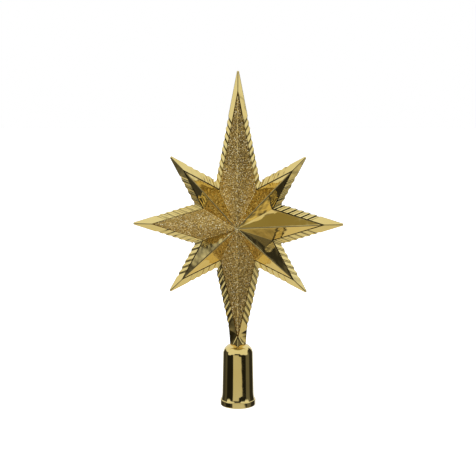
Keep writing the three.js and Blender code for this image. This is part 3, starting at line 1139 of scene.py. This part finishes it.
def mixed(tree, share, a, b):
    """The colour a where the share is 0 and b where it is 1."""
    node = add_node(tree, "ShaderNodeMix", {"data_type": "RGBA"}, Factor=share)
    put(tree, node.inputs[6], a)
    put(tree, node.inputs[7], b)
    return node.outputs[2]


def ramp_of(tree, share, stops):
    """The colour at that share of a ramp, whose stops are (position, colour)."""
    ramp = add_node(tree, "ShaderNodeValToRGB", Fac=share)
    marks = ramp.color_ramp.elements
    marks.remove(marks[1])
    for k, (position, colour) in enumerate(stops):
        mark = marks[0] if k == 0 else marks.new(position)
        mark.position = position
        mark.color = colour
    return ramp


def shader_group(name, inputs, outputs):
    """A shader group and its input node."""
    tree = new_tree("ShaderNodeTree", name, inputs, outputs)
    return tree, add_node(tree, "NodeGroupInput")


def surface_waves():
    inputs = {"Wave": "Float", "Peel": "Float"}
    tree, given = shader_group("surface waves", inputs, {"Normal": "Vector"})
    slow = add_node(
        tree,
        "ShaderNodeBump",
        Height=noise_of(tree, WAVE_LENGTH),
        Strength=given.outputs["Wave"],
        Distance=WAVE_HEIGHT,
    )
    fine = add_node(
        tree,
        "ShaderNodeBump",
        Height=noise_of(tree, PEEL_LENGTH),
        Strength=given.outputs["Peel"],
        Distance=PEEL_HEIGHT,
        Normal=slow,
    )
    add_node(tree, "NodeGroupOutput", Normal=fine)
    return tree


def handling_haze():
    inputs = {"Clean": "Float", "Hazy": "Float"}
    tree, given = shader_group("handling haze", inputs, {"Roughness": "Float"})
    noise = noise_of(tree, HAZE_LENGTH, HAZE_DETAIL)
    clean, hazy = given.outputs["Clean"], given.outputs["Hazy"]
    add_node(tree, "NodeGroupOutput", Roughness=blend(tree, noise, clean, hazy, *MIDDLE_RANGE))
    return tree


def tone_drift():
    inputs = {"Deep": "Color", "Pale": "Color"}
    tree, given = shader_group("tone drift", inputs, {"Color": "Color"})
    share = blend(tree, noise_of(tree, DRIFT_LENGTH), 0, 1, *MIDDLE_RANGE)
    tone = mixed(tree, share, given.outputs["Deep"], given.outputs["Pale"])
    add_node(tree, "NodeGroupOutput", Color=tone)
    return tree


waves = surface_waves()
haze = handling_haze()
drift = tone_drift()
print("shader groups:", [group.name for group in (waves, haze, drift)])

# %% Materials
DEEP_GOLD = (0.79, 0.58, 0.17, 1)
PALE_GOLD = (0.86, 0.68, 0.25, 1)
# painted shade: the brown of the dark lines along the channel and the ridges
SHADE_LINE_COLOUR = (0.11, 0.075, 0.025, 1)
LACQUER = 0.5
LACQUER_ROUGHNESS = 0.05
SHADE_LINE_ROUGHNESS = 0.4
FLAKE_METALLIC = 0.85
FLAKE_ROUGHNESS = (0.3, 0.1)  # of the darkest flake and of the palest
FLAKE_COLOURS = (
    (0, (0.38, 0.24, 0.055, 1)), (0.7, (0.92, 0.65, 0.19, 1)), (1, (1.0, 0.94, 0.64, 1)),
)


def new_material(name):
    made = bpy.data.materials.new(name)
    made.use_nodes = True
    return made, made.node_tree, made.node_tree.nodes["Principled BSDF"]


def use_group(tree, group, **values):
    return add_node(tree, "ShaderNodeGroup", {"node_tree": group}, **values)


def mirror_gold(name, clean, hazy, wave, peel):
    made, tree, surface = new_material(name)
    tone = use_group(tree, drift, Deep=DEEP_GOLD, Pale=PALE_GOLD)
    rough = use_group(tree, haze, Clean=clean, Hazy=hazy)
    # painted shade: the marked faces turn dark brown and rougher
    shade_share = add_node(tree, "ShaderNodeAttribute", {"attribute_name": "thin_coat"}).outputs["Fac"]
    fill(
        tree,
        surface,
        Base_Color=mixed(tree, shade_share, tone, SHADE_LINE_COLOUR),
        Metallic=1,
        Roughness=blend(tree, shade_share, rough, SHADE_LINE_ROUGHNESS),
        Normal=use_group(tree, waves, Wave=wave, Peel=peel),
        Coat_Weight=LACQUER,
        Coat_Roughness=LACQUER_ROUGHNESS,
    )
    return made


def glitter_gold():
    made, tree, surface = new_material("glitter_gold")
    tone = add_node(tree, "ShaderNodeAttribute", {"attribute_name": "flake_tone"}).outputs["Fac"]
    fill(
        tree,
        surface,
        Base_Color=ramp_of(tree, tone, FLAKE_COLOURS),
        Metallic=FLAKE_METALLIC,
        Roughness=blend(tree, tone, *FLAKE_ROUGHNESS),
    )
    return made


star_gold = mirror_gold("star_mirror_gold", clean=0.03, hazy=0.08, wave=0.8, peel=0.1)
socket_gold = mirror_gold("socket_mirror_gold", clean=0.05, hazy=0.1, wave=0.1, peel=0.02)
glitter = glitter_gold()
for piece, finish in ((star_front, star_gold), (star_back, star_gold), (socket_cup, socket_gold)):
    piece.data.materials.clear()
    piece.data.materials.append(finish)

# %% Glitter coats
GLITTERED = (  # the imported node, its ray and the seed of its flakes
    ("glitter_top_ray", "top", 3), ("glitter_left_ray", "left", 5),
    ("glitter_bottom_ray", "bottom", 7),
)
coats = {}
for node, ray_name, seed in GLITTERED:
    skin = glitter_skin(by_name[ray_name])
    coat = spray_surface(by_name[ray_name])
    run_tree(
        coat,
        glitter_tree,
        Skin=skin,
        Density=FLAKES_PER_SQUARE_METRE,
        Radius=FLAKE_RADIUS,
        Tilt=FLAKE_TILT,
        Seed=seed,
        Material=glitter,
    )
    bpy.data.objects.remove(skin)
    coat.name = coat.data.name = ray_name + "_ray_glitter"
    coats[node] = coat
    measure(coat)

# %% [markdown]
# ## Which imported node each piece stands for
# Every piece rides on the root body, as nothing on the topper moves, and takes the place of the
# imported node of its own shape.

# %% Pieces
pieces = [
    (star_front, "star_front_shell", "star_mirror_gold"),
    (star_back, "star_back_shell", "star_mirror_gold"),
    (socket_cup, "socket_cup", "socket_mirror_gold"),
    *[(coat, node, "glitter_gold") for node, coat in coats.items()],
]
for piece, node, slot_name in pieces:
    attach(piece, "root")
    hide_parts(node)
print("pieces on root:", len(pieces))

# %% [markdown]
# ## The studio
# A mirror shows its room, so the room is what makes the picture. This one is a dark studio,
# painted in the world's shader by direction: the azimuth, with 0 in front and positive to the
# right, and the rise, which is the height of the direction on a unit sphere. A white cloth is
# stretched overhead. It hangs lower at the sides and right down behind the object, and it is thin
# and brownish straight above. A sheet lies under the object, warmer at the back. In front it is
# dark but for a soft box a little left of the camera, which is wider at its foot, and a dim strip
# on each side. Real panels could stand round the object, but a painted room throws no shadows,
# and its edges are plain numbers. The camera itself sees only white, since the picture is a
# cut-out, and the mirror doesn't see the pale floor for the same reason.

# %% Room
# Each stop is an azimuth in degrees with the light or the rise there
WALL_STOPS = (
    (-150, 1.0), (-140, 0.05), (-106, 0.05), (-101, 0.09), (-88, 0.09), (-83, 0.015),
    (60, 0.015), (66, 0.15), (92, 0.15), (98, 0.03), (140, 0.03), (150, 1.0),
)
CLOTH_EDGE_STOPS = (
    (-180, -1.0), (-150, -0.6), (-135, 0.235), (-92, 0.235), (-82, 0.3), (-77, -0.1),
    (-58, -0.1), (-50, 0.02), (-42, 0.06), (-28, 0.08), (-20, 0.28), (16, 0.28), (24, 0.06),
    (48, 0.06), (56, -0.07), (79, -0.07), (84, 0.3), (98, 0.46), (135, 0.46), (150, -0.6),
    (180, -1.0),
)
CLOTH_SOFTNESS = 0.12
CLOTH_COLOUR = (0.86, 0.9, 1.0, 1)
BOX_LIGHT = 0.6
BOX_LEFT = -34
BOX_RIGHT = 58
BOX_LEAN = 250  # degrees that the box's right edge moves outwards for a unit of fall
BOX_LEAN_TOP = -0.15  # the rise above which that edge is upright
BOX_LEAN_EDGE = -29.5
BOX_TOP = 0.06
BOX_BOTTOM = -0.4
BOX_LEFT_BLUR = 2
BOX_RIGHT_BLUR = 3
BOX_RISE_BLUR = 0.05
SHEET_EDGE_STOPS = (
    (-95, -0.5), (-80, -0.3), (-53, -0.3), (-46, -0.24), (46, -0.24), (53, -0.3),
    (66, -0.45), (95, -0.45), (105, -0.5),
)
BENCH_STOPS = ((-100, 1), (-80, 0), (80, 0), (100, 1))
SHEET_SOFTNESS = 0.5
SHEET_COLOUR = (0.75, 0.75, 0.75, 1)
BENCH_COLOUR = (0.72, 0.65, 0.46, 1)
ZENITH_EDGE = 0.87
ZENITH_BLUR = 0.06
ZENITH_COLOUR = (0.3, 0.26, 0.13, 1)
WHITE = (1, 1, 1, 1)

world = bpy.data.worlds.new("studio")
world.use_nodes = True
bpy.context.scene.world = world
room = world.node_tree


def soft_step(value, start, end):
    """Goes smoothly from 0 to 1 while the value goes from start to end."""
    smooth = {"interpolation_type": "SMOOTHSTEP"}
    return add_node(
        room, "ShaderNodeMapRange", smooth, Value=value, From_Min=start, From_Max=end
    )


def turn_step(value, degrees, blur):
    """Goes from 0 to 1 at that angle, or from 1 to 0 where the blur is negative."""
    return soft_step(value, math.radians(degrees - blur), math.radians(degrees + blur))


def around(stops, low, high):
    """A number that changes with the azimuth, from a list of (degrees, number)."""
    marks = []
    for degrees, number in stops:
        level = (number - low) / (high - low)
        marks.append(((degrees + 180) / 360, (level, level, level, 1)))
    return blend(room, ramp_of(room, turn_share, marks), low, high)


way = add_node(room, "ShaderNodeTexCoord").outputs["Generated"]
parts = add_node(room, "ShaderNodeSeparateXYZ", Vector=way)
rise = parts.outputs["Z"]
forward = calculate(room, "MULTIPLY", parts.outputs["Y"], -1)
azimuth = calculate(room, "ARCTAN2", parts.outputs["X"], forward)
turn_share = blend(room, azimuth, 0, 1, -math.pi, math.pi)
leaning = calculate(room, "MINIMUM", rise, BOX_LEAN_TOP)
leaning = calculate(room, "MULTIPLY", leaning, math.radians(BOX_LEAN))
leaning = calculate(room, "ADD", leaning, azimuth)
box = turn_step(azimuth, BOX_LEFT, BOX_LEFT_BLUR)
for side in (
    turn_step(azimuth, BOX_RIGHT, -BOX_RIGHT_BLUR),
    turn_step(leaning, BOX_LEAN_EDGE, -BOX_RIGHT_BLUR),
    soft_step(rise, BOX_TOP + BOX_RISE_BLUR, BOX_TOP),
    soft_step(rise, BOX_BOTTOM - BOX_RISE_BLUR, BOX_BOTTOM),
):
    box = calculate(room, "MULTIPLY", box, side)
above = calculate(room, "SUBTRACT", rise, around(CLOTH_EDGE_STOPS, -1, 1))
below = calculate(room, "SUBTRACT", around(SHEET_EDGE_STOPS, -1, 1), rise)
under = soft_step(below, 0, SHEET_SOFTNESS)
light = blend(room, box, around(WALL_STOPS, 0, 1), BOX_LIGHT)
for share, paint in (
    (soft_step(above, 0, CLOTH_SOFTNESS), CLOTH_COLOUR),
    (under, SHEET_COLOUR),
    (calculate(room, "MULTIPLY", under, around(BENCH_STOPS, 0, 1)), BENCH_COLOUR),
    (soft_step(rise, ZENITH_EDGE, ZENITH_EDGE + ZENITH_BLUR), ZENITH_COLOUR),
    (add_node(room, "ShaderNodeLightPath").outputs["Is Camera Ray"], WHITE),
):
    light = mixed(room, share, light, paint)
put(room, room.nodes["Background"].inputs["Color"], light)
print("room nodes:", len(room.nodes))

# %% [markdown]
# One weak lamp overhead lights what is no mirror: the floor and the dull part of the glitter. The
# mirror would show it as a bright square, so it is hidden from reflections. The floor glows a
# little, which keeps it nearly white without a strong lamp.

# %% Lamp and floor
LAMP_PLACE = Vector((-0.5, -0.6, 1.3))
LAMP_SIZE = 0.6
LAMP_WATTS = 10
FLOOR_HALF = 4.0
FLOOR_GREY = (0.9, 0.9, 0.9, 1)
FLOOR_ROUGHNESS = 0.8
FLOOR_GLOW = 0.6

lamp_data = bpy.data.lights.new("overhead", "AREA")
lamp_data.shape = "RECTANGLE"
lamp_data.size = lamp_data.size_y = LAMP_SIZE
lamp_data.energy = LAMP_WATTS
lamp = linked("overhead", lamp_data)
lamp.location = LAMP_PLACE
to_star = Vector((0, 0, CENTRE_Z * MM)) - LAMP_PLACE
lamp.rotation_euler = to_star.to_track_quat("-Z", "Y").to_euler()
lamp.visible_glossy = False

mesh = bpy.data.meshes.new("floor")
mesh.from_pydata([Vector((*c, 0)) * FLOOR_HALF for c in SQUARE], [], [(0, 1, 2, 3)])
floor = linked("floor", mesh)
floor.visible_glossy = False
floor_white, floor_tree, floor_surface = new_material("floor_white")
fill(
    floor_tree,
    floor_surface,
    Base_Color=FLOOR_GREY,
    Roughness=FLOOR_ROUGHNESS,
    Emission_Color=WHITE,
    Emission_Strength=FLOOR_GLOW,
)
mesh.materials.append(floor_white)

view = bpy.context.scene.view_settings
view.view_transform = "Standard"
view.look = "None"
